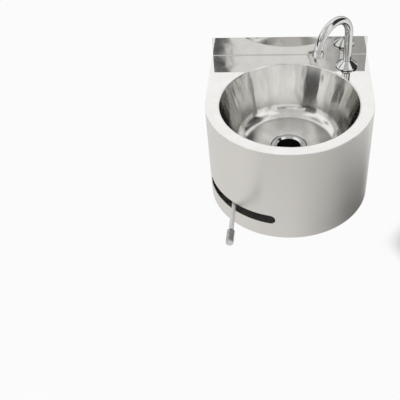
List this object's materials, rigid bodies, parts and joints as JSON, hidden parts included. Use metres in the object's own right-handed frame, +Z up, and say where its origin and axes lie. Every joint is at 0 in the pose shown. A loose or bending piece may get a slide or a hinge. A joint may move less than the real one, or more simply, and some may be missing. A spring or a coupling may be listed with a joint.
{
  "type": "hand wash basin",
  "caption": "Wall-hung round-fronted stainless hand wash sink with deep bowl, splashback, swivel swan-neck spout and a side-swinging lever valve below.",
  "frame": {"origin": "centre of the four wall fixing holes, on the wall plane", "axes": "+X to the right, -Y out from the wall towards the user, +Z up"},
  "size_m": [0.4, 0.4756, 0.4178],
  "materials": {
    "mirror_steel": "mirror polished stainless steel",
    "satin_steel": "fine satin grain running round the body",
    "mill_steel": "plain rolled stainless sheet",
    "polished_steel": "bright polished",
    "knurled_steel": "bright, diamond knurled",
    "fastener_steel": "plain stainless fasteners",
    "brass": "turned brass",
    "nickel_plate": "nickel plated brass",
    "braid": "woven stainless braid",
    "black_rubber": "soft matte black",
    "fibre_washer": "pressed fibre",
    "damping_sheet": "dull filled rubber sheet",
    "white_plastic": "moulded acetal",
    "ceramic": "lapped ceramic"
  },
  "bodies": {
    "basin": {"deck": "mirror_steel", "bowl": "mirror_steel", "apron": "satin_steel", "base_cover": "mill_steel", "wall_plate": "mill_steel", "earth_tab": "mill_steel", "waste_clamp_cup": "mill_steel", "valve_bracket": "mill_steel", "tap_backing_plate": "mill_steel", "tap_washer": "mill_steel", "waste_flange": "polished_steel", "tap_flange": "polished_steel", "cover_screws": "fastener_steel", "cover_nuts": "fastener_steel", "bracket_screws": "fastener_steel", "spout_stop_screw": "fastener_steel", "valve_mount_nut": "fastener_steel", "valve_body": "brass", "valve_bonnet": "brass", "tap_shank": "brass", "tap_locknut": "brass", "waste_locknut": "brass", "hot_inlet_tail": "nickel_plate", "cold_inlet_tail": "nickel_plate", "outlet_nipple": "nickel_plate", "hose_nut_valve": "nickel_plate", "hose_nut_tap": "nickel_plate", "hose_ferrule_valve": "nickel_plate", "hose_ferrule_tap": "nickel_plate", "supply_hose": "braid", "tap_gasket": "black_rubber", "spout_o_rings": "black_rubber", "stem_seal": "black_rubber", "waste_seal_upper": "black_rubber", "waste_seal_lower": "black_rubber", "hose_washer_valve": "fibre_washer", "hose_washer_tap": "fibre_washer", "sound_pad": "damping_sheet", "valve_cartridge": "white_plastic", "hot_check_valve": "white_plastic", "cold_check_valve": "white_plastic", "fixed_disc": "ceramic"},
    "spout": {"spout_tube": "polished_steel", "spout_base_collar": "polished_steel", "aerator_housing": "polished_steel", "aerator_washer": "black_rubber", "aerator_insert": "white_plastic"},
    "lever": {"moving_disc": "ceramic", "valve_stem": "polished_steel", "lever_hub": "polished_steel", "lever_hub_screw": "fastener_steel", "lever_rod": "polished_steel", "lever_locknut": "polished_steel", "lever_grip": "knurled_steel", "grip_end_cap": "polished_steel"}
  },
  "joints": [
    {"name": "spout_swivel", "type": "hinge", "parent": "basin", "child": "spout", "pos_m": [0.144, -0.056, 0.1], "axis": [0, 0, 1], "range_deg": [-60, 60]},
    {"name": "lever_swing", "type": "hinge", "parent": "basin", "child": "lever", "pos_m": [-0.124, -0.06, -0.123], "axis": [0, 0, 1], "range_deg": [-15, 15]}
  ]
}
